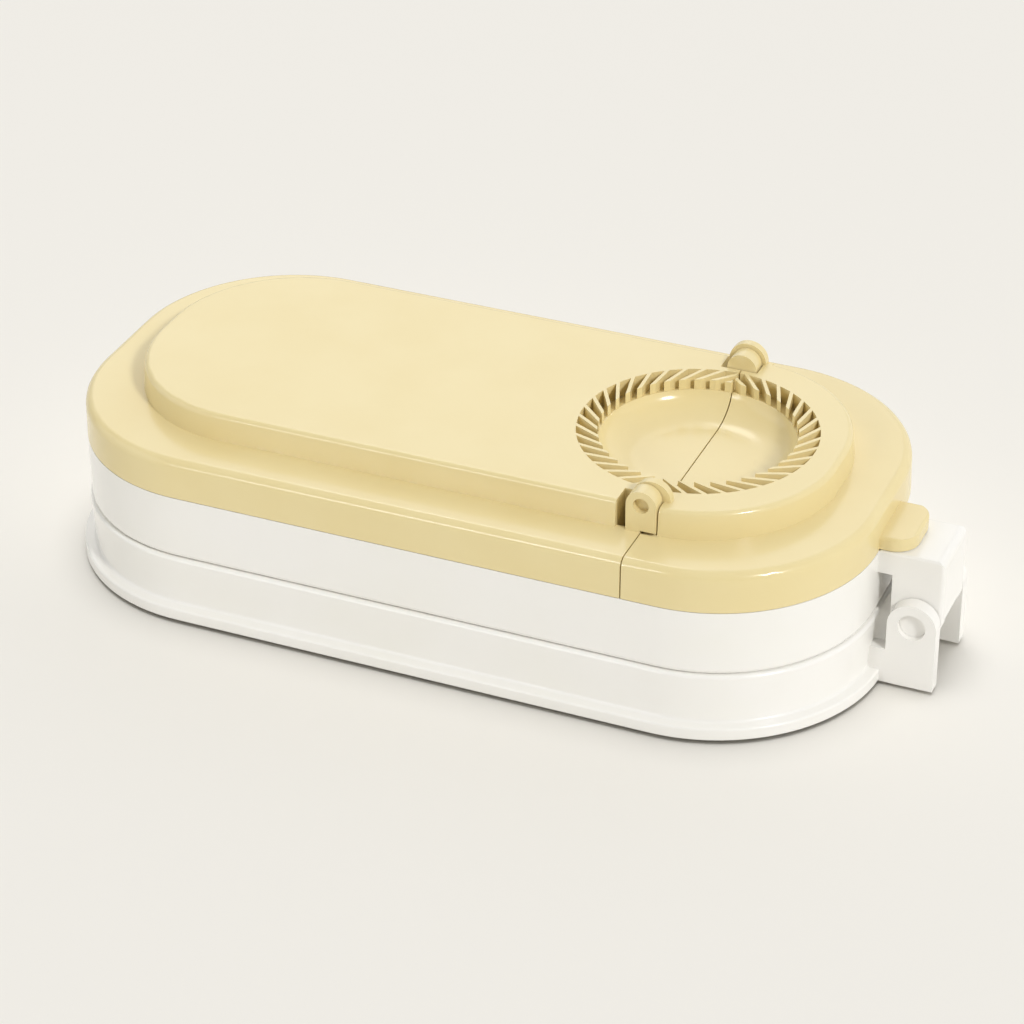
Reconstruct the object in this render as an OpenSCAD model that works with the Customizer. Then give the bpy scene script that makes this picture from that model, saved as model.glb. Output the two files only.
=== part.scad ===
// Counter-top press for round dough pockets.
// A long oval box opens like a clam on a pin at one end and presses dough between two discs.
// The cover has two halves. The short half folds over onto the long one on its own hinge, and
// closes a round pleated mould that the two halves share.
// +X runs along the length towards the main hinge, +Y to the back, +Z up. Millimetres.

/* [Overall] */
// Length of the cover from end to end
cover_len = 300; // [260:1:340]
// Width of the cover
cover_wid = 149; // [140:1:160]
// Radius of the plan corners of the cover
plan_r = 59; // [55:1:64]
// Height of the foot pads below the base
pad_drop = 1.3; // [0.9:0.1:1.6]
// Top of the base wall
base_top = 25.4; // [23.5:0.1:27.5]
// Top of the white upper shell
shell_top = 50.5; // [49.5:0.5:55.5]
// Height of the ledge round the cover
ledge_top = 65.8; // [63.5:0.1:69.5]
// Height of the raised plateau above the table
plateau_top = 75.9; // [74.5:0.1:79.5]

/* [Walls] */
// Wall of the white mouldings
wall = 2.6; // [2.2:0.1:3]
// Wall of the yellow mouldings
cover_wall = 2.4; // [2:0.1:2.8]
// Height of the outer foot flange
flange_h = 4.8; // [4.2:0.1:5.6]
// Reach of the foot flange beyond the cover outline
flange_out = 4.4; // [3.8:0.1:5.4]
// Rounding of the flange edge
flange_r = 0.8; // [0.5:0.1:1.2]
// Reach of the base wall beyond the cover outline
lip_out = 0.8; // [0.5:0.1:1.2]
// Rounding of the lip on top of the base wall
lip_r = 1.4; // [1:0.1:1.8]
// Hollow rounding between the base wall and the flange
foot_r = 1.2; // [0.8:0.1:1.6]
// Rounding of the lower edge of the upper shell
shell_r = 2.4; // [1.8:0.1:3]
// Width of the ledge between skirt and plateau
ledge_w = 19; // [16:0.5:21]
// Width of the ledge at the two ends
ledge_end = 18; // [15:0.5:20]
// Radius of the plan corners of the plateau
top_r = 50; // [42:1:54]
// Gap at the joint between the moving halves
joint_gap = 0.4; // [0.3:0.05:0.6]
// Rounding of the cover shoulder
shoulder_r = 3.4; // [2:0.1:4]
// Rounding of the plateau edge
plateau_r = 2; // [1:0.1:3]

/* [Mould] */
// Distance from cover centre to the fold line and mould centre
fold_x = 78.5; // [74:0.1:82]
// Radius of the pleat channel
mould_r = 42.8; // [41:0.1:44]
// Radius of the bowl inside the channel
bowl_r = 35.2; // [33.5:0.1:36.5]
// Radius of the flat of the bowl floor
bowl_flat = 20; // [16:0.5:22]
// Depth of the bowl
bowl_deep = 11.6; // [10.5:0.1:13]
// Depth of the channel at the bowl rim
channel_in = 4; // [3.5:0.1:5]
// Depth of the channel at its outer wall
channel_out = 6.4; // [5.4:0.1:7]
// Number of pleat fins in each half
fins = 20; // [17:1:22]
// Thickness of one fin
fin_t = 1.3; // [1:0.1:1.6]
// Slant of the fins from the radius, degrees
fin_slant = 47; // [40:1:50]
// Phase of the fins of the short half, in pitches. The long half lies half a pitch off
fin_phase = 0; // [0:0.05:1]

/* [Fold hinge] */
// Height of the fold axis above the plateau
axis_up = 0.4; // [0.4:0.1:1]
// Radius of the thick ears of the long half
ear_r = 5.5; // [5.2:0.1:6]
// Thickness of the thick ears
ear_t = 6; // [5:0.1:7]
// Radius of the thin plates of the short half
plate_r = 7; // [6.6:0.1:7.4]
// Reach of the front thin plate beyond the fold axis, its centre lies this far off it
plate_off = 1.5; // [0.8:0.1:2]
// Drop of the front thin plate's centre below the fold axis
plate_drop = 0.6; // [0:0.1:0.8]
// Thickness of the thin plates
plate_t = 3; // [2.4:0.1:3.4]
// Outer face of the front ear, distance from the middle
ear_front = 55.6; // [55:0.1:56]
// Inner face of the back ear, distance from the middle
ear_back = 45.3; // [45:0.1:46]
// Radius of the pin head
head_r = 2.8; // [2.5:0.1:3]
// Radius of the pin shank
shank_r = 2; // [1.8:0.1:2.2]
// Depth of the pin head below the ear face
head_in = 2.6; // [2.2:0.1:3]
// Running clearance round the pins
run = 0.05; // [0.03:0.01:0.08]

/* [Main hinge] */
// Distance of the main pin beyond the cover end
pin_out = 14.8; // [13.5:0.1:16.5]
// Height of the main pin
pin_z = 26; // [25.4:0.1:27]
// Depth of the pin ends below the ear faces
pin_in = 2.2; // [1.6:0.1:3]
// Radius of the main pin
pin_r = 4.9; // [4.4:0.05:5]
// Half width of the hinge block
block_half = 13.3; // [12.5:0.1:15]
// Reach of the hinge block beyond the pin
block_out = 9; // [8.8:0.1:10.4]
// Radius of the block legs round the pin
leg_r = 8.8; // [8.2:0.1:8.8]
// Thickness of one block leg
leg_t = 5.6; // [5:0.1:6.5]
// Radius of the base ears round the pin
lug_r = 8.8; // [8:0.1:9.3]
// Thickness of a base ear
lug_t = 5.4; // [4.8:0.1:6.2]
// Rounding of the upper edges of the block along its length
block_edge = 1.2; // [0.8:0.1:1.6]
// Rounding of the upper edge across the block's end
block_end_r = 3.2; // [2.4:0.1:4]
// Reach of the block from the pin towards the box
block_in = 9.4; // [9.2:0.1:10]
// Height of the block above the shell
block_up = 0.5; // [0:0.1:0.8]
// Rounding of the block corners seen from above
block_r = 1.5; // [1:0.1:2.5]
// Height of the foot of the base ears
lug_foot = 15; // [12.5:0.5:18]
// Height of the slot top behind the block legs
slot_top = 42.1; // [41:0.1:44]
// Reach of the finger tab beyond the cover
tab_out = 11.9; // [10.5:0.5:13.5]
// Half width of the finger tab
tab_half = 13; // [12.2:0.1:13.5]
// Thickness of the finger tab
tab_t = 4.8; // [4.2:0.1:5.6]
// Height of the underside of the tab above the shell
tab_up = 0.9; // [0.7:0.1:1.2]
// Rounding of the upper edge of the tab
tab_edge = 1.4; // [0.8:0.1:2]
// Rounding of the tab corners seen from above
tab_r = 8.5; // [6.5:0.5:9.5]

/* [Press discs] */
// Distance of the press discs from the cover centre
disc_x = 10; // [0:1:20]
// Radius of the lower disc
low_r = 56; // [52:1:60]
// Radius of the upper disc
up_r = 52; // [48:1:55]
// Thickness of the dough left between the discs
dough_t = 1.6; // [1:0.1:2]
// Thickness of the lower disc
low_t = 3.6; // [3.4:0.1:4]
// Thickness of the upper disc
up_t = 3; // [2.5:0.1:4]
// Distance of the disc screws from the disc centre
disc_screw_r = 38; // [34:1:42]
// Radius of the posts of the upper disc
disc_post_r = 5; // [4:0.1:6]
// Thread length of the disc screws in the posts
disc_screw_l = 8; // [6:0.5:12]

/* [Screws and pads] */
// Shank radius of the screws
screw_r = 1.45; // [1.2:0.05:1.6]
// Head radius of the screws
screw_head_r = 2.8; // [2.5:0.1:3.2]
// Head height of the screws
screw_head_h = 2; // [1.6:0.1:2.2]
// Radius of the screw posts
post_r = 3.6; // [3.3:0.1:4.2]
// Thread length of the bottom screws
bottom_screw_l = 8; // [6:0.5:9]
// Thread length of the cover screws
cover_screw_l = 9; // [7:0.5:11]
// Distance of the end posts of the base from the cover ends
base_post_end = 32; // [28:1:36]
// Distance of the inner posts of the base from the middle
base_post_in = 44; // [36:1:50]
// Distance of the inner posts of the base from the long axis
base_post_y = 54; // [46:1:58]
// Distance of the left cover posts from the cover end
post_end = 38; // [34:1:44]
// Distance of the middle cover posts from the middle
post_mid = 38; // [30:1:44]
// Distance of the right cover posts from the fold line
post_fold = 36.5; // [32:0.5:42]
// Distance of the cover posts from the long axis
post_y = 42; // [36:1:46]
// Distance of the foot pads from the cover ends
pad_end = 46; // [44:1:54]
// Distance of the foot pads from the long axis
pad_y = 42; // [34:1:46]
// Radius of the foot pads
pad_r = 8; // [6:0.5:10]
// Thickness of the foot pads
pad_t = 2; // [1.7:0.1:2.4]
// Thickness of the bottom plate
plate_bottom_t = 2; // [1.8:0.1:2.4]

/* [Hidden] */
$fn = 64;
arc_n = 4;                                   // steps in one rounded edge
hx = cover_len / 2;
hy = cover_wid / 2;
pin_x = hx + pin_out;
px = hx - ledge_end;                         // plateau outline at its foot
py = hy - ledge_w;
pr = top_r;
reach_right = pin_x + block_out;
reach_left = hx + flange_out;
mid_shift = (reach_right - reach_left) / 2;  // middle of the whole length
shell_bot = base_top + joint_gap;
skirt_bot = shell_top + 0.3;                 // shadow line under the skirt
axis_z = plateau_top + axis_up;
cover_in = plateau_top - cover_wall;
ledge_in = ledge_top - cover_wall;
deck_top = base_top - low_t - 0.8;           // deck that carries the lower disc
deck_bot = deck_top - wall;
low_top = deck_top + low_t;
up_bot = low_top + dough_t;
shell_deck = shell_top - wall;               // underside of the upper deck
seam = 0.25;                                 // half of the gap at the fold line
big = 400;
pitch = 180 / fins;
ear_y0 = -ear_front;                         // front ear, outer face
front_plate_y = ear_y0 + ear_t + 0.3;        // front thin plate, outer face
back_plate_y = ear_back + ear_t + 0.3;       // back thin plate, inner face
ear_low = ledge_top + 0.7;                   // underside of the overhanging half ear
relief_r = sqrt(pow(ear_r, 2) + pow(axis_z - ear_low, 2)) + 0.35;  // clears the lower corner of that half
pocket = plate_r + plate_off + 0.9;          // reach of the front pocket beside the fold axis
pocket_back = plate_r + 0.9;                 // reach of the back pocket
notch = ear_r + 0.5;                         // notch in the short half, width
well = ledge_in - 3;                         // floor of the well left of the front ear
post_x = [post_end - hx, -post_mid, fold_x - post_fold];
base_post_x = [base_post_end - hx, -base_post_in, base_post_in, hx - base_post_end];
base_post_end_y = 0.72 * base_post_y;         // end posts stand nearer the long axis
pad_x = hx - pad_end;
rib_bot = pad_drop + plate_bottom_t + 3;                                  // underside of the ribs below the deck

// ---- shared helpers ----

// points of a rounded corner of radius r about c, from angle a to b
function arc(c, r, a, b) =
    [for (i = [0:arc_n]) [c[0] + r * cos(a + (b - a) * i / arc_n), c[1] + r * sin(a + (b - a) * i / arc_n)]];

// solid with a rounded oblong plan. p lists [offset from the outline, height] from the bottom up
module form(p, ax, ay, r) {
    n = len(p) - 1;
    cx = ax - r;
    cy = ay - r;
    rotate([90, 0, 90])
    translate([0, 0, -cx])
    linear_extrude(2 * cx)
    polygon(concat([for (q = p) [ay + q[0], q[1]]], [for (i = [n:-1:0]) [-ay - p[i][0], p[i][1]]]));
    for (s = [0, 180])
        rotate([0, 0, s])
        translate([cx, 0, 0])
        rotate([90, 0, 0])
        translate([0, 0, -cy])
        linear_extrude(2 * cy)
        polygon(concat([[0, p[0][1]]], [for (q = p) [r + q[0], q[1]]], [[0, p[n][1]]]));
    for (k = [[1, 1, 0], [-1, 1, 90], [-1, -1, 180], [1, -1, 270]])
        translate([k[0] * cx, k[1] * cy, 0])
        rotate([0, 0, k[2]])
        rotate_extrude(angle = 90)
        polygon(concat([[0, p[0][1]]], [for (q = p) [r + q[0], q[1]]], [[0, p[n][1]]]));
}

// everything is drawn about the cover centre and moved here to the middle of the whole length
module placed(c) {
    color(c)
    translate([-mid_shift, 0, 0])
    children();
}

// cylinder lying along Y from y0 to y1 at x, z
module bar_y(x, z, r, y0, y1) {
    translate([x, y1, z])
    rotate([90, 0, 0])
    cylinder(r = r, h = y1 - y0);
}

module box(x0, x1, y0, y1, z0, z1) {
    translate([x0, y0, z0])
    cube([x1 - x0, y1 - y0, z1 - z0]);
}

// plate with rounded corners on its +X side
module lug_plan(x0, x1, half, r, z0, z1) {
    box(x0, x1 - r, -half, half, z0, z1);
    box(x1 - r, x1, -half + r, half - r, z0, z1);
    for (s = [-1, 1])
        translate([x1 - r, s * (half - r), z0])
        cylinder(r = r, h = z1 - z0);
}

// the same plate with its upper edges rounded by e along the sides and by f across the end
module crowned(x0, x1, half, r, z0, z1, e, f) {
    intersection() {
        lug_plan(x0, x1, half, r, z0, z1);
        rotate([90, 0, 90])
        translate([0, 0, x0 - 1])
        linear_extrude(x1 - x0 + 2)
        polygon(concat([[half, z0]], arc([half - e, z1 - e], e, 0, 90), arc([e - half, z1 - e], e, 90, 180),
            [[-half, z0]]));
        rotate([90, 0, 0])
        translate([0, 0, -half - 1])
        linear_extrude(2 * half + 2)
        polygon(concat([[x0, z0], [x1, z0]], arc([x1 - f, z1 - f], f, 0, 90), [[x0, z1]]));
    }
}

// pan head screw, head down, shank up from z
module screw_up(z, h) {
    translate([0, 0, z - screw_head_h])
    cylinder(r = screw_head_r, h = screw_head_h);
    translate([0, 0, z])
    cylinder(r = screw_r, h = h);
}

// ---- base ----

module base_ears() {
    for (s = [-1, 1]) {
        y0 = s > 0 ? block_half + joint_gap : -block_half - joint_gap - lug_t;
        y1 = y0 + lug_t;
        difference() {
            union() {
                bar_y(pin_x, pin_z, lug_r, y0, y1);
                box(pin_x - lug_r, pin_x + lug_r, y0, y1, pad_drop, pin_z);
                box(hx - 2, pin_x, y0, y1, pad_drop, lug_foot);
            }
            bar_y(pin_x, pin_z, pin_r + run, y0 - 1, y1 + 1);
        }
    }
}

module base_tray() {
    z0 = pad_drop;
    zf = z0 + flange_h;
    placed("white")
    difference() {
        union() {
            form(concat([[flange_out - 0.5, z0], [flange_out, z0 + 0.5]],
                arc([flange_out - flange_r, zf - flange_r], flange_r, 0, 90),
                arc([foot_r, zf + foot_r], foot_r, 270, 180),
                arc([lip_out - lip_r, base_top - lip_r], lip_r, 0, 90)), hx, hy, plan_r);
            base_ears();
        }
        // hollow under the deck
        form([[-wall, z0 - 1], [-wall, deck_bot]], hx, hy, plan_r);
        // recess above the deck
        form([[-wall - 0.6, deck_top], [-wall, base_top + 1]], hx, hy, plan_r);
        // screw holes of the lower disc
        for (a = [45:90:315])
            translate([disc_x + disc_screw_r * cos(a), disc_screw_r * sin(a), deck_bot - 1])
            cylinder(r = screw_r + 0.25, h = wall + 2);
    }
    // ribs and posts under the deck
    placed("white") {
        for (x = base_post_x)
            for (s = [-1, 1])
                translate([x, s * (abs(x) > base_post_in + 1 ? base_post_end_y : base_post_y), 0])
                difference() {
                    translate([0, 0, pad_drop + plate_bottom_t])
                    cylinder(r = post_r, h = deck_bot - pad_drop - plate_bottom_t);
                    translate([0, 0, pad_drop])
                    cylinder(r = screw_r, h = plate_bottom_t + bottom_screw_l + 2);
                }
        for (x = [-80, 80])
            box(x - 1, x + 1, -hy + 2, hy - 2, rib_bot, deck_bot);
        for (y = [-18, 18])
            box(-hx + 2, hx - 2, y - 1, y + 1, rib_bot, deck_bot);
    }
}

module bottom_plate() {
    placed("gainsboro")
    difference() {
        form([[-wall - 0.3, pad_drop], [-wall - 0.3, pad_drop + plate_bottom_t]], hx, hy, plan_r);
        for (x = base_post_x)
            for (s = [-1, 1])
                translate([x, s * (abs(x) > base_post_in + 1 ? base_post_end_y : base_post_y), pad_drop])
                cylinder(r1 = screw_head_r + 0.1, r2 = screw_r + 0.1, h = plate_bottom_t);
        for (x = [-pad_x, pad_x])
            for (y = [-pad_y, pad_y])
                translate([x, y, pad_drop - 1])
                cylinder(r = pad_r + 0.1, h = 1 + pad_t - pad_drop);
    }
}

module bottom_screws() {
    placed("silver")
    for (x = base_post_x)
        for (s = [-1, 1])
            translate([x, s * (abs(x) > base_post_in + 1 ? base_post_end_y : base_post_y), pad_drop]) {
                cylinder(r1 = screw_head_r, r2 = screw_r, h = plate_bottom_t);
                translate([0, 0, plate_bottom_t])
                cylinder(r = screw_r, h = bottom_screw_l);
            }
}

module foot_pads() {
    placed("dimgray")
    for (x = [-pad_x, pad_x])
        for (y = [-pad_y, pad_y])
            translate([x, y, 0])
            cylinder(r1 = pad_r - 0.4, r2 = pad_r, h = pad_t);
}

module lower_press_disc() {
    placed("whitesmoke")
    translate([disc_x, 0, 0])
    difference() {
        union() {
            translate([0, 0, deck_top])
            cylinder(r = low_r, h = low_t - 0.8);
            translate([0, 0, low_top - 0.8])
            cylinder(r1 = low_r, r2 = low_r - 0.8, h = 0.8);
        }
        for (a = [45:90:315])
            translate([disc_screw_r * cos(a), disc_screw_r * sin(a), deck_top - 1])
            cylinder(r = screw_r, h = 1 + 2.6);
    }
}

module lower_disc_screws() {
    placed("silver")
    for (a = [45:90:315])
        translate([disc_x + disc_screw_r * cos(a), disc_screw_r * sin(a), 0])
        screw_up(deck_bot, wall + 2.4);
}

// ---- lid ----

module hinge_block() {
    x1 = pin_x + block_out;
    difference() {
        union() {
            crowned(hx - 2.4, x1, block_half, block_r, slot_top, shell_top + block_up, block_edge, block_end_r);
            intersection() {
                lug_plan(hx, x1, block_half, block_r, pin_z, slot_top + 1);
                box(pin_x - block_in, x1, -block_half, block_half, pin_z, slot_top + 1);
            }
            for (s = [-1, 1]) {
                y0 = s > 0 ? block_half - leg_t : -block_half;
                bar_y(pin_x, pin_z, leg_r, y0, y0 + leg_t);
            }
        }
        // hollow between the legs, open underneath
        box(pin_x - block_in - 1, x1 - 3, -block_half + leg_t, block_half - leg_t, 0, shell_top - 3);
        bar_y(pin_x, pin_z, pin_r, -block_half - 1, block_half + 1);
        // the raised top starts clear of the skirt
        box(hx - 3, hx + 0.5, -block_half - 1, block_half + 1, shell_top, shell_top + 2);
    }
}

module upper_shell() {
    placed("white") {
        difference() {
            union() {
                form(concat(arc([-shell_r, shell_bot + 0.82 * shell_r], shell_r, -55, 0), [[0, shell_top]]), hx, hy, plan_r);
                hinge_block();
            }
            // open underside with one deck on top
            form([[-wall, shell_bot - 1], [-wall, shell_deck]], hx, hy, plan_r);
            // screw holes of the long cover
            for (x = post_x)
                for (y = [-post_y, post_y])
                    translate([x, y, shell_deck - 1])
                    cylinder(r = screw_r + 0.25, h = wall + 2);
            // screw holes of the upper disc
            for (a = [45:90:315])
                translate([disc_x + disc_screw_r * cos(a), disc_screw_r * sin(a), shell_deck - 1])
                cylinder(r = screw_r + 0.25, h = wall + 2);
        }
        for (x = [-84, -60, 80])
            box(x - 1, x + 1, -hy + 2, hy - 2, shell_deck - 8.4, shell_deck + 0.5);
        for (y = [-56, 56])
            box(-hx + 40, hx - 40, y - 1, y + 1, shell_deck - 8.4, shell_deck + 0.5);
    }
}

module upper_press_disc() {
    placed("whitesmoke")
    translate([disc_x, 0, 0])
    difference() {
        union() {
            translate([0, 0, up_bot])
            cylinder(r1 = up_r - 0.8, r2 = up_r, h = 0.8);
            translate([0, 0, up_bot + 0.8])
            cylinder(r = up_r, h = up_t - 0.8);
            for (a = [45:90:315])
                translate([disc_screw_r * cos(a), disc_screw_r * sin(a), up_bot + up_t - 0.5])
                cylinder(r = disc_post_r, h = shell_deck - up_bot - up_t + 0.5);
            for (a = [45, 135])
                rotate([0, 0, a])
                box(-up_r + 6, up_r - 6, -1, 1, up_bot + up_t - 0.5, up_bot + up_t + 6);
        }
        for (a = [45:90:315])
            translate([disc_screw_r * cos(a), disc_screw_r * sin(a), shell_deck - disc_screw_l - 1])
            cylinder(r = screw_r, h = disc_screw_l + 2);
    }
}

module upper_disc_screws() {
    placed("silver")
    for (a = [45:90:315])
        translate([disc_x + disc_screw_r * cos(a), disc_screw_r * sin(a), shell_top])
        mirror([0, 0, 1])
        screw_up(0, wall + disc_screw_l);
}

module main_hinge_pin() {
    y1 = block_half + joint_gap + lug_t - pin_in;
    placed("whitesmoke")
    bar_y(pin_x, pin_z, pin_r, -y1, y1);
}

// ---- cover ----

// skirt and ledge, outside
module cover_out_low() {
    form(concat([[0, skirt_bot]], arc([-shoulder_r - 0.3, ledge_top - shoulder_r], shoulder_r, 0, 90)),
        hx, hy, plan_r);
}

// plateau, outside
module cover_out_top() {
    form(concat([[0.3, ledge_top - 1], [0, ledge_top]],
        arc([-0.8 - plateau_r, plateau_top - plateau_r], plateau_r, 0, 90)), px, py, pr);
}

// hollow of skirt, ledge and plateau
module cover_hollow() {
    form([[-cover_wall, skirt_bot - 1], [-cover_wall - 0.3, ledge_in - 2], [-cover_wall - 2.3, ledge_in]],
        hx, hy, plan_r);
    form([[-cover_wall, ledge_in - 1], [-cover_wall - 0.8, cover_in]], px, py, pr);
}

// cavity of the mould, turned about the mould axis
module mould_cavity() {
    e = bowl_r - bowl_flat;
    d = bowl_deep - channel_in;
    translate([fold_x, 0, plateau_top])
    rotate_extrude($fn = 128)
    polygon(concat([[0, -bowl_deep]],
        [for (i = [0:8]) [bowl_flat + e * sin(10 * i), -bowl_deep + d * (1 - cos(10 * i)) / (1 - cos(80))]],
        [[bowl_r, -channel_in], [mould_r, -channel_out], [mould_r, 1], [0, 1]]));
}

// outside of the mould cup below the plateau
module mould_cup() {
    e = bowl_r - bowl_flat + 2.2;
    d = bowl_deep - channel_out;
    w = 2.2;
    translate([fold_x, 0, plateau_top])
    rotate_extrude($fn = 128)
    polygon(concat([[0, -bowl_deep - w]],
        [for (i = [0:6]) [bowl_flat + e * sin(15 * i), -bowl_deep - w + d * (1 - cos(15 * i))]],
        [[mould_r + w, -channel_out - w], [mould_r + w, -1], [0, -1]]));
}

// fins of the short half at one phase. The long half mirrors them half a pitch off,
// so that the folded fins mesh and pinch the dough into pleats
module fin_ring(phase) {
    rm = (mould_r + bowl_r) / 2;
    translate([fold_x, 0, 0])
    intersection() {
        difference() {
            translate([0, 0, plateau_top - channel_out - 1])
            cylinder(r = mould_r + 0.5, h = channel_out + 1, $fn = 128);
            translate([0, 0, plateau_top - channel_out - 2])
            cylinder(r = bowl_r, h = channel_out + 3, $fn = 128);
        }
        for (i = [-1:fins])
            rotate([0, 0, -90 + (i + phase) * pitch])
            translate([rm, 0, 0])
            rotate([0, 0, fin_slant])
            box(-9.5, 9.5, -fin_t / 2, fin_t / 2, plateau_top - channel_out - 1, plateau_top);
    }
}

// whole closed cover without a fold line. s is the side that is kept, -1 long half, 1 short half
module cover_half(s) {
    x0 = s > 0 ? fold_x + seam : -big;
    x1 = s > 0 ? big : fold_x - seam;
    intersection() {
        union() {
            difference() {
                union() {
                    difference() {
                        union() {
                            cover_out_low();
                            cover_out_top();
                        }
                        cover_hollow();
                    }
                    mould_cup();
                    // wall along the fold line
                    intersection() {
                        union() {
                            cover_out_low();
                            cover_out_top();
                        }
                        box(fold_x - seam - 2, fold_x + seam + 2, -hy, hy, skirt_bot, plateau_top);
                    }
                }
                mould_cavity();
            }
            if (s > 0)
                fin_ring(fin_phase);
            else
                translate([2 * fold_x, 0, 0])
                mirror([1, 0, 0])
                fin_ring(fin_phase + 0.5);
        }
        box(x0, x1, -big, big, 0, plateau_top + 1);
    }
}

// one thick ear from y0, its right half overhangs the short cover
module ear(y0) {
    bar_y(fold_x, axis_z, ear_r, y0, y0 + ear_t);
    box(fold_x - ear_r, fold_x - seam, y0, y0 + ear_t, ledge_top - 1, axis_z);
    box(fold_x - 1, fold_x + ear_r, y0, y0 + ear_t, ear_low, axis_z);
}

module fixed_cover() {
    placed("khaki")
    difference() {
        union() {
            difference() {
                cover_half(-1);
                // pockets for the thin plates
                box(fold_x - pocket, fold_x + 1, -py - 1, front_plate_y + plate_t + 0.4, ledge_top, plateau_top + 2);
                box(fold_x - pocket_back, fold_x + 1, ear_back - 0.4, py + 1, ledge_top, plateau_top + 2);
            }
            // pocket floors and sides
            box(fold_x - pocket - 1.6, fold_x - seam, ear_y0, front_plate_y + plate_t + 2, ledge_in, ledge_top);
            box(fold_x - pocket_back - 1.6, fold_x - seam, ear_back - 2, py - 1, ledge_in, ledge_top);
            box(fold_x - pocket - 1.6, fold_x - pocket, ear_y0 + 1.4, front_plate_y + plate_t + 2,
                ledge_in, plateau_top - 1);
            box(fold_x - pocket_back - 1.6, fold_x - pocket_back, ear_back - 2, py - 1.4, ledge_in, plateau_top - 1);
            box(fold_x - pocket, fold_x - seam, front_plate_y + plate_t + 0.4, front_plate_y + plate_t + 2,
                ledge_in, plateau_top - 1);
            box(fold_x - pocket_back, fold_x - seam, ear_back - 2, ear_back - 0.4, ledge_in, plateau_top - 1);
            // outside of the well left of the front ear
            box(fold_x - pocket - 1.6, fold_x - ear_r + 1.6, ear_y0 + 0.4, front_plate_y + plate_t + 2,
                well - 1.6, ledge_top);
            ear(ear_y0);
            ear(ear_back);
            // screw posts down to the deck
            for (x = post_x)
                for (y = [-post_y, post_y])
                    translate([x, y, shell_top])
                    cylinder(r = post_r, h = cover_in - shell_top + 0.5);
            // locating ribs that stand on the deck
            for (x = [-70, 0])
                box(x - 1, x + 1, -hy + 2, hy - 2, shell_top, shell_top + 8);
        }
        for (x = post_x)
            for (y = [-post_y, post_y])
                translate([x, y, shell_top - 1])
                cylinder(r = screw_r, h = cover_screw_l + 4);
        // the well itself
        box(fold_x - pocket, fold_x - ear_r, ear_y0 + 1.8, front_plate_y + plate_t + 0.4, well, ledge_top + 1);
        // stepped bore of the front ear
        bar_y(fold_x, axis_z, head_r + run, ear_y0 - 1, ear_y0 + head_in + 2);
        bar_y(fold_x, axis_z, shank_r + run, ear_y0, ear_y0 + ear_t + 0.2);
        // blind bore of the back ear
        bar_y(fold_x, axis_z, shank_r, ear_back + 1.4, ear_back + ear_t + 1);
        // room for the fold wall below the overhang
        box(fold_x - seam, fold_x + ear_r + 1, -hy, hy, 0, ear_low);
    }
}

module flip_plate(y0, off, drop) {
    bar_y(fold_x + off, axis_z - drop, plate_r, y0, y0 + plate_t);
    box(fold_x + seam, fold_x + notch + 3, y0, y0 + plate_t, axis_z - drop - plate_r, plateau_top);
}

module flip_cover() {
    placed("khaki")
    difference() {
        union() {
            difference() {
                union() {
                    cover_half(1);
                    // finger tab at the end
                    crowned(hx - 2, hx + tab_out, tab_half, tab_r, shell_top + tab_up,
                        shell_top + tab_up + tab_t, tab_edge, tab_edge);
                    // thick ledge under the ears
                    box(fold_x + seam, fold_x + notch + 3, -py - 1, front_plate_y + plate_t, ledge_top - 5, ledge_top);
                    box(fold_x + seam, fold_x + notch + 3, ear_back - 2, py + 1, ledge_top - 5, ledge_top);
                    // sides of the notches
                    box(fold_x + notch, fold_x + notch + 2, -py + 1.4, front_plate_y + plate_t,
                        ledge_in, plateau_top - 1);
                    box(fold_x + notch, fold_x + notch + 2, ear_back - 2, py - 1.4, ledge_in, plateau_top - 1);
                    box(fold_x + seam, fold_x + notch + 2, ear_back - 2, ear_back - 0.4,
                        ledge_in, plateau_top - 1);
                }
                // notches that take the ears
                box(fold_x - 1, fold_x + notch, -py - 1, front_plate_y, ledge_top, plateau_top + 2);
                box(fold_x - 1, fold_x + notch, ear_back - 0.4, back_plate_y, ledge_top, plateau_top + 2);
                intersection() {
                    union() {
                        bar_y(fold_x, axis_z, relief_r, ear_y0 - 0.4, front_plate_y);
                        bar_y(fold_x, axis_z, relief_r, ear_back - 0.4, back_plate_y);
                    }
                    box(fold_x - 1, fold_x + notch, -py - 2, py + 2, 0, plateau_top + 2);
                }
            }
            flip_plate(front_plate_y, plate_off, plate_drop);
            flip_plate(back_plate_y, 0, 0);
        }
        bar_y(fold_x, axis_z, shank_r, front_plate_y - 1, front_plate_y + plate_t + 1);
        bar_y(fold_x, axis_z, shank_r + run, back_plate_y - 1, back_plate_y + plate_t + 1);
        // room for the head of the back pin
        bar_y(fold_x, axis_z, head_r + 0.5, back_plate_y + plate_t, py + 2);
        // nothing stays left of the fold line below the plates
        difference() {
            box(fold_x - big, fold_x + seam, -hy, hy, 0, plateau_top + 30);
            bar_y(fold_x + plate_off, axis_z - plate_drop, plate_r + 0.01, front_plate_y - 0.01,
                front_plate_y + plate_t + 0.01);
            bar_y(fold_x, axis_z, plate_r + 0.01, back_plate_y - 0.01, back_plate_y + plate_t + 0.01);
        }
    }
}

module cover_screws() {
    placed("silver")
    for (x = post_x)
        for (y = [-post_y, post_y])
            translate([x, y, 0])
            screw_up(shell_deck, wall + cover_screw_l);
}

// headed pin, pressed into the front plate, turns in the front ear
module fold_pin_front() {
    placed("khaki") {
        bar_y(fold_x, axis_z, head_r, ear_y0 + head_in, ear_y0 + head_in + 1.8);
        bar_y(fold_x, axis_z, shank_r, ear_y0 + head_in, front_plate_y + plate_t);
    }
}

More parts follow.
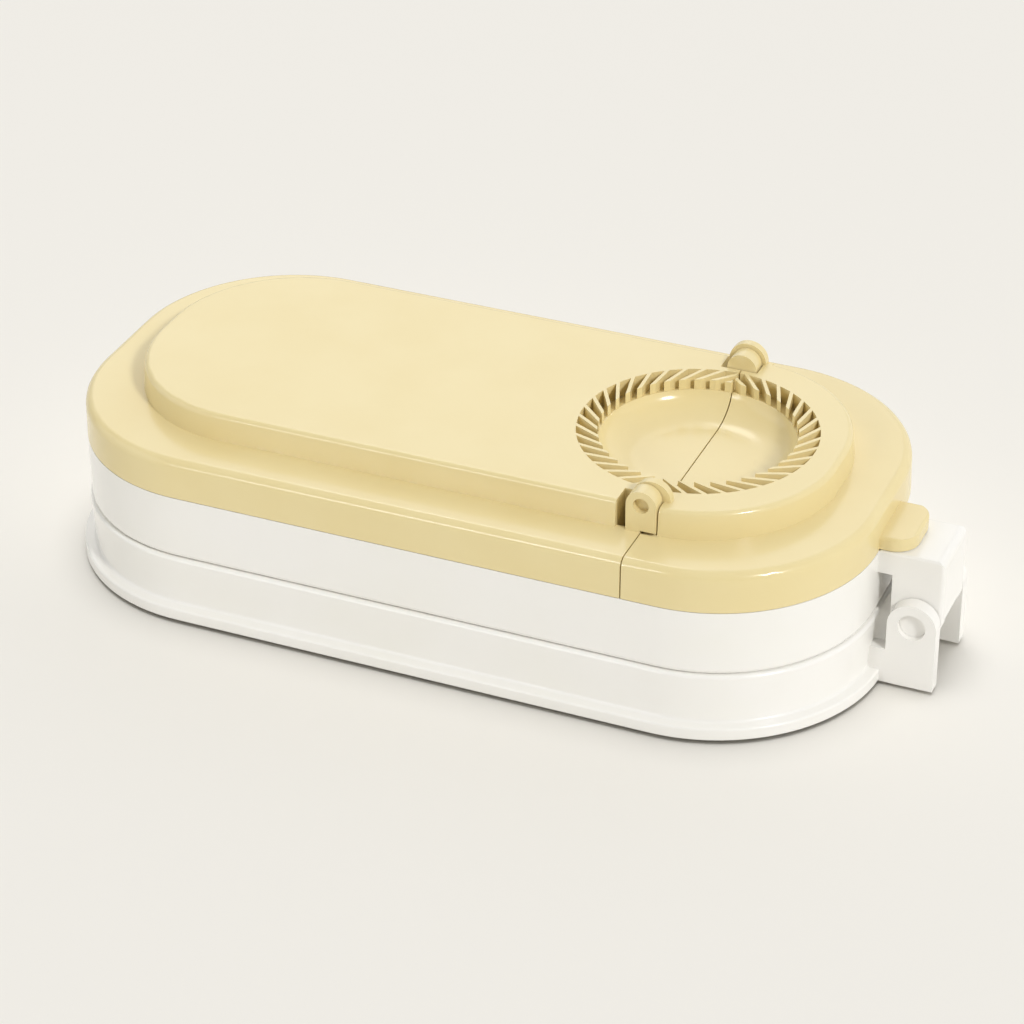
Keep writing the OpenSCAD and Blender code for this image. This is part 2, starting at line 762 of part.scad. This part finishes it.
// headed pin, pressed into the back ear, carries the back plate
module fold_pin_back() {
    y1 = back_plate_y + plate_t + 0.3;
    placed("khaki") {
        bar_y(fold_x, axis_z, shank_r, ear_back + 1.8, y1);
        bar_y(fold_x, axis_z, head_r, y1, y1 + 1.8);
    }
}

base_tray();
bottom_plate();
bottom_screws();
foot_pads();
lower_press_disc();
lower_disc_screws();
main_hinge_pin();
upper_shell();
upper_press_disc();
upper_disc_screws();
fixed_cover();
cover_screws();
flip_cover();
fold_pin_front();
fold_pin_back();
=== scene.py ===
# %% [markdown]
# # A folding dough press, dressed in Blender
#
# The object is an oval kitchen press about 330 mm long. A white box opens like a clam on a fat
# pin at its right end and presses dough between two discs. A butter-coloured cover sits on top,
# and its short half folds over onto the long half to close a round pleated mould.
# The CAD model gives the bodies, the joints and the sizes. This script reads that model as a
# fixed frame and gives it soft moulded edges, plastics, light and a camera.
# The frame's origin is the middle of the whole length on the table, and it counts in metres.

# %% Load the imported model
import math
import bpy
import bmesh
from mathutils import Matrix, Vector


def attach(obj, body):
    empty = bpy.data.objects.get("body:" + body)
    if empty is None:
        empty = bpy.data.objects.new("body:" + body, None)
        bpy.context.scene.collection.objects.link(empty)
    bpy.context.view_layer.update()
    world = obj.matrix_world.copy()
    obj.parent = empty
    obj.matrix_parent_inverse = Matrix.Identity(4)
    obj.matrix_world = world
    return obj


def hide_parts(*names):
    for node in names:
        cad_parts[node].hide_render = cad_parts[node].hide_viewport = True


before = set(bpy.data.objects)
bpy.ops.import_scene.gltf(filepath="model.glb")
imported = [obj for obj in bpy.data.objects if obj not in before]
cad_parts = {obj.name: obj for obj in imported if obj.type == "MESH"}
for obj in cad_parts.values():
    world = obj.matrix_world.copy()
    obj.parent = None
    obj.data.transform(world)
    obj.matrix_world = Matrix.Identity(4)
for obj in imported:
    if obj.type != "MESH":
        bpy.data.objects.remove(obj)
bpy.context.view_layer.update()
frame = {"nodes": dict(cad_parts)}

MM = 0.001
nodes = frame["nodes"]

# %% [markdown]
# ## Shader sums that read like formulas
#
# Mixing levels with Math nodes by hand is slow to read. A small class wraps a socket and gives it
# + and *, so 0.2 + 0.05 * grain adds its nodes by itself. Every other node comes from one method,
# which sets the node's own options first and its inputs after.

# %% A socket with operators
class Level:
    """One output socket of a node tree."""

    def __init__(self, net, socket):
        self.net, self.socket = net, socket

    def _sum(self, operation, a, b):
        return self.net.node("ShaderNodeMath", {"operation": operation}, {0: a, 1: b})

    def __add__(self, other):
        return self._sum("ADD", self, other)

    def __radd__(self, other):
        return self._sum("ADD", other, self)

    def __mul__(self, other):
        return self._sum("MULTIPLY", self, other)

    def __rmul__(self, other):
        return self._sum("MULTIPLY", other, self)


# %% A node tree with one method for every node
class Net:
    """A tree of nodes, of a material or of the surround."""

    def __init__(self, tree):
        self.tree = tree

    def feed(self, socket, value):
        """Links a level to a socket, or sets the socket to a plain value."""
        if isinstance(value, Level):
            self.tree.links.new(value.socket, socket)
        else:
            socket.default_value = value

    def node(self, kind, options=None, inputs=None, out=0):
        """Adds a node with its options and inputs, and gives its output number out."""
        made = self.tree.nodes.new(kind)
        for name, value in (options or {}).items():
            setattr(made, name, value)
        for key, value in (inputs or {}).items():
            self.feed(made.inputs[key], value)
        return Level(self, made.outputs[out])


# %% A material with one shader
class Finish(Net):
    """A material whose constants sit on its shader and whose patterns are added node by node."""

    def __init__(self, name, **fixed):
        self.material = bpy.data.materials.new(name)
        self.material.use_nodes = True
        super().__init__(self.material.node_tree)
        self.shader = self.tree.nodes["Principled BSDF"]
        self.set(**fixed)

    def set(self, **values):
        """Puts numbers, colours or levels on the shader, with _ for a space in a socket's name."""
        for key, value in values.items():
            self.feed(self.shader.inputs[key.replace("_", " ")], value)

    def place(self):
        """The Object coordinates, which move with the piece."""
        return self.node("ShaderNodeTexCoord", out=3)

    def speckle(self, size, detail=2.0):
        """Noise whose grains are about size metres across, from 0 to 1."""
        return self.node("ShaderNodeTexNoise", None,
                         {"Vector": self.place(), "Scale": 1 / size, "Detail": detail})

    def between(self, level, low, high):
        """Stretches the part of a level from low to high over 0 to 1."""
        return self.node("ShaderNodeMapRange", None,
                         {"Value": level, "From Min": low, "From Max": high})

    def tint(self, level, first, second):
        """Blends two colours by a level."""
        return self.node("ShaderNodeMix", {"data_type": "RGBA"},
                         {0: level, 6: first, 7: second}, out=2)

    def relief(self, level, depth):
        """Bump of a level that stands depth metres high."""
        return self.node("ShaderNodeBump", None,
                         {"Height": level, "Strength": 1.0, "Distance": depth})


print("tools", Level.__name__, Net.__name__, Finish.__name__)

# %% [markdown]
# ## Colours
#
# Colours are written as they look on a screen, from 0 to 255, and turned to the linear values
# that Blender's sockets hold.

# %% Screen colour to linear
def screen(r, g, b):
    """The linear colour, with alpha 1, of a colour on a screen."""
    def line(c):
        c /= 255
        return c / 12.92 if c <= 0.04045 else ((c + 0.055) / 1.055) ** 2.4
    return (line(r), line(g), line(b), 1.0)


print("half grey on a screen is", round(screen(128, 128, 128)[0], 3))

# %% [markdown]
# ## Butter and white plastic
#
# The covers and the box are one kind of moulding, in pale yellow and in warm white. The eye reads
# it as plastic through three faint things: cloudy colour a few centimetres wide, a skin whose
# gloss wanders, and an orange-peel relief finer than a millimetre. White shows handling less than
# yellow, so its two tones lie nearer together, and its skin is a little less glossy.

# %% The two moulded plastics
CLOUD_EDGES = (0.35, 0.65)                 # part of the noise that makes the clouds
GLOSS_PATCH, GLOSS_SPREAD = 20 * MM, 0.05  # how the gloss wanders
PEEL_GRAIN, PEEL_DEPTH = 0.9 * MM, 0.002 * MM


def moulded_plastic(name, cloud_size, deep, pale, roughness):
    """A plastic with cloudy colour between deep and pale, a wandering gloss and orange peel."""
    plastic = Finish(name, Specular_IOR_Level=0.5, IOR=1.49)
    cloud = plastic.between(plastic.speckle(cloud_size, 3.0), *CLOUD_EDGES)
    plastic.set(Base_Color=plastic.tint(cloud, deep, pale),
                Roughness=roughness + GLOSS_SPREAD * plastic.speckle(GLOSS_PATCH, 3.0),
                Normal=plastic.relief(plastic.speckle(PEEL_GRAIN), PEEL_DEPTH))
    return plastic.material


def butter_plastic():
    return moulded_plastic("butter_plastic", 35 * MM, screen(233, 215, 160),
                           screen(235, 218, 165), roughness=0.15)


def white_plastic():
    return moulded_plastic("white_plastic", 50 * MM, screen(244, 242, 235),
                           screen(246, 244, 239), roughness=0.20)


butter = butter_plastic()
white = white_plastic()
print("made", butter.name, white.name, len(butter.node_tree.nodes), "nodes each")

# %% [markdown]
# ## Press discs, screws and pads
#
# The discs are polished so that dough lets go. The screws are plain steel with fine turning
# lines, and the pads are soft grey rubber with an open grain.

# %% Press disc plastic
def disc_plastic():
    plastic = Finish("disc_plastic", Specular_IOR_Level=0.5, IOR=1.5)
    cloud = plastic.speckle(30 * MM)
    plastic.set(Base_Color=plastic.tint(cloud, screen(243, 244, 242), screen(247, 248, 246)),
                Roughness=0.14 + 0.05 * plastic.speckle(4 * MM, 3.0),
                Normal=plastic.relief(plastic.speckle(2 * MM), 0.006 * MM))
    return plastic.material


# %% Screw steel
def screw_steel():
    steel = Finish("screw_steel", Metallic=1.0)
    rings = steel.node("ShaderNodeTexWave", {"wave_type": "RINGS", "rings_direction": "Z"},
                       {"Vector": steel.place(), "Scale": 900.0, "Distortion": 0.6})
    steel.set(Base_Color=steel.tint(rings, screen(196, 198, 200), screen(212, 213, 214)),
              Roughness=0.28 + 0.12 * steel.speckle(1.5 * MM),
              Normal=steel.relief(rings, 0.008 * MM))
    return steel.material


# %% Pad rubber
def pad_rubber():
    rubber = Finish("pad_rubber", Specular_IOR_Level=0.3)
    grain = rubber.speckle(0.8 * MM, 4.0)
    rubber.set(Base_Color=rubber.tint(grain, screen(142, 142, 138), screen(158, 158, 154)),
               Roughness=0.75 + 0.15 * grain, Normal=rubber.relief(grain, 0.06 * MM))
    return rubber.material


disc = disc_plastic()
steel = screw_steel()
rubber = pad_rubber()
print("made", disc.name, steel.name, rubber.name)

# %% [markdown]
# ## The left end of the raised top
#
# Inside the long half of the cover, the two screw posts at the left end stand so near the wall of
# the raised top that a sliver of each shows outside it. A moulded wall is smooth there. The CAD
# mesh itself is never changed, so the half is copied and welded, the two slivers are cut off, the
# rim that each leaves on the ledge is pulled back to the foot of the wall, and the hole is filled.
# The fill at the back isn't smooth: seen from behind, a bright jagged streak shows there.

# %% A smooth copy of the long half
# All in mm.
LEDGE, POST_TOP = 65.8, 74.0           # heights between which a sliver stands
POST, POST_R = (-121.7, 42.0), 3.6     # plan place and radius of its post
CORNER, CORNER_R = (-91.7, 5.5), 50.0  # centre and radius of the raised top's corner
LEAN, LEAN_RISE = 0.8, 8.1             # how far the wall leans in, and over what height
SKIN = 0.02                            # a point this near the post's radius is on the post
PAST_WALL = 0.03                       # a point this far outside the wall is proud of it
LEVEL = 0.1                            # points this near a height are at it
WELD = 0.001


def stands_proud(point, post, corner):
    """Is this point on the post, and outside the leaning wall?"""
    height = point.co.z / MM
    lean = LEAN * min(max(height - LEDGE, 0) / LEAN_RISE, 1)
    return (abs((point.co.xy - post).length / MM - POST_R) < SKIN
            and LEDGE - LEVEL < height < POST_TOP + LEVEL
            and (point.co.xy - corner).length / MM > CORNER_R - lean + PAST_WALL)


def cut_sliver(form, side):
    """Cuts off what stands proud at the front (-1) or the back (1), and fills the hole."""
    post, corner = (Vector((x, y * side)) * MM for x, y in (POST, CORNER))
    proud = [v for v in form.verts if stands_proud(v, post, corner)]
    foot = [v for v in proud if v.co.z / MM < LEDGE + LEVEL]
    bmesh.ops.delete(form, geom=[v for v in proud if v not in foot], context="VERTS")
    upright = {f for v in foot for f in v.link_faces if abs(f.normal.z) < 0.5}
    bmesh.ops.delete(form, geom=list(upright), context="FACES")
    for v in foot:
        v.co.xy = corner + (v.co.xy - corner).normalized() * CORNER_R * MM
    rim = [e for e in form.edges if e.is_boundary]
    patch = bmesh.ops.holes_fill(form, edges=rim, sides=0)["faces"]
    bmesh.ops.triangulate(form, faces=patch)
    print("side", side, "points cut", len(proud), "rim", len(rim), "patches", len(patch))


def smooth_long_half(cover):
    """A copy of the cover in which the wall of the raised top hides the end posts."""
    form = bmesh.new()
    form.from_mesh(cover.data)
    bmesh.ops.remove_doubles(form, verts=form.verts, dist=WELD * MM)
    for side in (-1, 1):
        cut_sliver(form, side)
    bmesh.ops.recalc_face_normals(form, faces=form.faces)
    print("open edges", sum(not e.is_manifold for e in form.edges), "volume", form.calc_volume())
    half = bpy.data.objects.new("cover_long_half", bpy.data.meshes.new("cover_long_half"))
    form.to_mesh(half.data)
    form.free()
    bpy.context.scene.collection.objects.link(half)
    return half


long_half = smooth_long_half(nodes["fixed_cover"])
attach(long_half, "lid")
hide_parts("fixed_cover")
shown = {**nodes, "fixed_cover": long_half}

# %% [markdown]
# ## Dress the CAD pieces
#
# A CAD node comes in as loose triangles. Weld closes them, Bevel rounds each hard edge by a
# fraction of a millimetre as a mould does, and the faces shade smoothly over it. Weighted Normal
# lets the large faces win at each point, so that a flat top stays flat next to its round rim.

# %% Put finishes and edge rounding on the nodes
finish_of = {
    "base_tray": white, "bottom_plate": white, "upper_shell": white, "main_hinge_pin": white,
    "lower_press_disc": disc, "upper_press_disc": disc,
    "bottom_screws": steel, "lower_disc_screws": steel, "upper_disc_screws": steel,
    "cover_screws": steel, "foot_pads": rubber,
    "fixed_cover": butter, "flip_cover": butter, "fold_pin_front": butter, "fold_pin_back": butter,
}
# Width of the rounded edges, mm
edge_of = {"base_tray": 0.35, "upper_shell": 0.35, "fixed_cover": 0.28, "flip_cover": 0.28}
SMALL_EDGE = 0.15


def soften(piece, width):
    """Rounds the hard edges of a piece by width mm with live modifiers."""
    for face in piece.data.polygons:
        face.use_smooth = True
    weld = piece.modifiers.new("close", "WELD")
    weld.merge_threshold = 0.01 * MM
    edge = piece.modifiers.new("edge", "BEVEL")
    edge.width = width * MM
    edge.segments = 3
    edge.limit_method = "ANGLE"
    edge.angle_limit = math.radians(32)
    edge.harden_normals = True
    edge.use_clamp_overlap = True
    flat = piece.modifiers.new("flat", "WEIGHTED_NORMAL")
    flat.mode = "FACE_AREA"
    flat.weight = 60


for name, finish in finish_of.items():
    piece = shown[name]
    piece.data.materials.clear()
    piece.data.materials.append(finish)
    soften(piece, edge_of.get(name, SMALL_EDGE))
print("dressed", len(finish_of), "nodes")

# %% [markdown]
# ## Table and surround
#
# The table is a plain pale sheet, wide enough to fill the view. The surround stands for a room
# with a pale ceiling and a paler wall behind the press: it glows towards the top and towards the
# back, so the flat tops mirror a bright wall while the near walls keep their own colour. A view
# that looks past the table sees a plain pale backdrop.

# %% Table
PALE = screen(240, 237, 230)

table = bpy.data.objects.new("table", bpy.data.meshes.new("table"))
bpy.context.scene.collection.objects.link(table)
sheet = bmesh.new()
bmesh.ops.create_grid(sheet, x_segments=1, y_segments=1, size=6.0)
sheet.to_mesh(table.data)
sheet.free()
table_top = Finish("table_top", Roughness=0.9, Specular_IOR_Level=0.1)
table_top.set(Base_Color=table_top.tint(table_top.speckle(400 * MM), PALE, screen(241, 238, 231)))
table.data.materials.append(table_top.material)
print("table", round(table.dimensions.x), "m wide")

# %% Surround
CEILING_GLOW, WALL_GLOW = 0.42, 0.95

world = bpy.data.worlds.new("surround")
bpy.context.scene.world = world
world.use_nodes = True
room = Net(world.node_tree)
gaze = room.node("ShaderNodeTexCoord")


def facing(direction):
    """1 where the room is seen straight along direction, and 0 from square to it."""
    along = room.node("ShaderNodeVectorMath", {"operation": "DOT_PRODUCT"},
                      {0: gaze, 1: direction}, out=1)
    return room.node("ShaderNodeMath", {"operation": "MAXIMUM"}, {0: along, 1: 0.0})


brightness = CEILING_GLOW * facing((0, 0, 1)) + WALL_GLOW * facing((0, 1, 0))
glow = room.node("ShaderNodeBackground", None, {"Color": (1, 1, 1, 1), "Strength": brightness})
backdrop = room.node("ShaderNodeBackground", None, {"Color": PALE})
seen = room.node("ShaderNodeLightPath")
blend = room.node("ShaderNodeMixShader", None, {0: seen, 1: glow, 2: backdrop})
room.feed(world.node_tree.nodes["World Output"].inputs["Surface"], blend)
print("surround", len(world.node_tree.nodes), "nodes")

# %% [markdown]
# ## Lamps
#
# One narrow lamp high on the front right draws the form: it whitens the round right end and
# lays a soft shadow of the raised top on the left of the ledge. The weak lamps lift the left and
# right ends and put thin bright lines along the rounded edges. All of them shine on the press
# alone, and the table has a lamp of its own from straight above, so the floor stays plain and
# keeps only a soft shadow under the press.

# %% Lamps
def lamp(name, toward, strength, spread, pieces):
    """A far lamp in the direction toward, spread degrees wide, that lights only some pieces."""
    data = bpy.data.lights.new(name, "SUN")
    data.energy = strength
    data.angle = math.radians(spread)
    made = bpy.data.objects.new(name, data)
    made.rotation_euler = Vector(toward).to_track_quat("Z", "Y").to_euler()
    bpy.context.scene.collection.objects.link(made)
    lit = bpy.data.collections.new(name + "_lit")
    for piece in pieces:
        lit.objects.link(piece)
    made.light_linking.receiver_collection = lit


press = shown.values()
lamp("key", (0.676, -0.397, 0.62), 1.58, 10, press)
lamp("table_lamp", (0, 0, 1), 1.60, 36, [table])
lamp("left_fill", (-0.85, -0.35, 0.25), 0.80, 60, press)
lamp("right_fill", (0.97, -0.05, 0.24), 0.46, 60, press)
lamp("front_line", (-0.337, -0.85, 0.407), 0.42, 13, press)
lamp("back_line", (-0.337, 0.614, 0.711), 0.12, 11, press)
lamp("back_wall", (-0.42, 0.72, 0.55), 0.20, 34, press)

# %% [markdown]
# ## Camera
#
# The photograph is taken from the front and a little from the right, from about 32 degrees above
# the table, through a long lens that keeps the long sides almost parallel.

# %% Camera
AZIMUTH, ELEVATION, ROLL = (math.radians(a) for a in (23.4, 32.11, -0.65))
AIM = Vector((-5.14, 6.17, 20.67)) * MM
DISTANCE = 1200.02 * MM
FOCAL_PIXELS, PHOTO_PIXELS = 3262.9, 1024
SENSOR = 36  # mm

back = Vector((math.sin(AZIMUTH) * math.cos(ELEVATION), -math.cos(AZIMUTH) * math.cos(ELEVATION),
               math.sin(ELEVATION)))
across = Vector((math.cos(AZIMUTH), math.sin(AZIMUTH), 0))
upward = back.cross(across)
right = across * math.cos(ROLL) + upward * math.sin(ROLL)
up = upward * math.cos(ROLL) - across * math.sin(ROLL)
turned = Matrix((right, up, back)).transposed().to_4x4()

lens = bpy.data.cameras.new("view")
lens.sensor_width = SENSOR
lens.lens = FOCAL_PIXELS / PHOTO_PIXELS * SENSOR
lens.clip_start, lens.clip_end = 0.1, 20
camera = bpy.data.objects.new("view", lens)
camera.matrix_world = Matrix.Translation(AIM + back * DISTANCE) @ turned
bpy.context.scene.collection.objects.link(camera)
bpy.context.scene.camera = camera
bpy.context.scene.view_settings.view_transform = "Standard"
print("lens", round(lens.lens, 2), "mm")
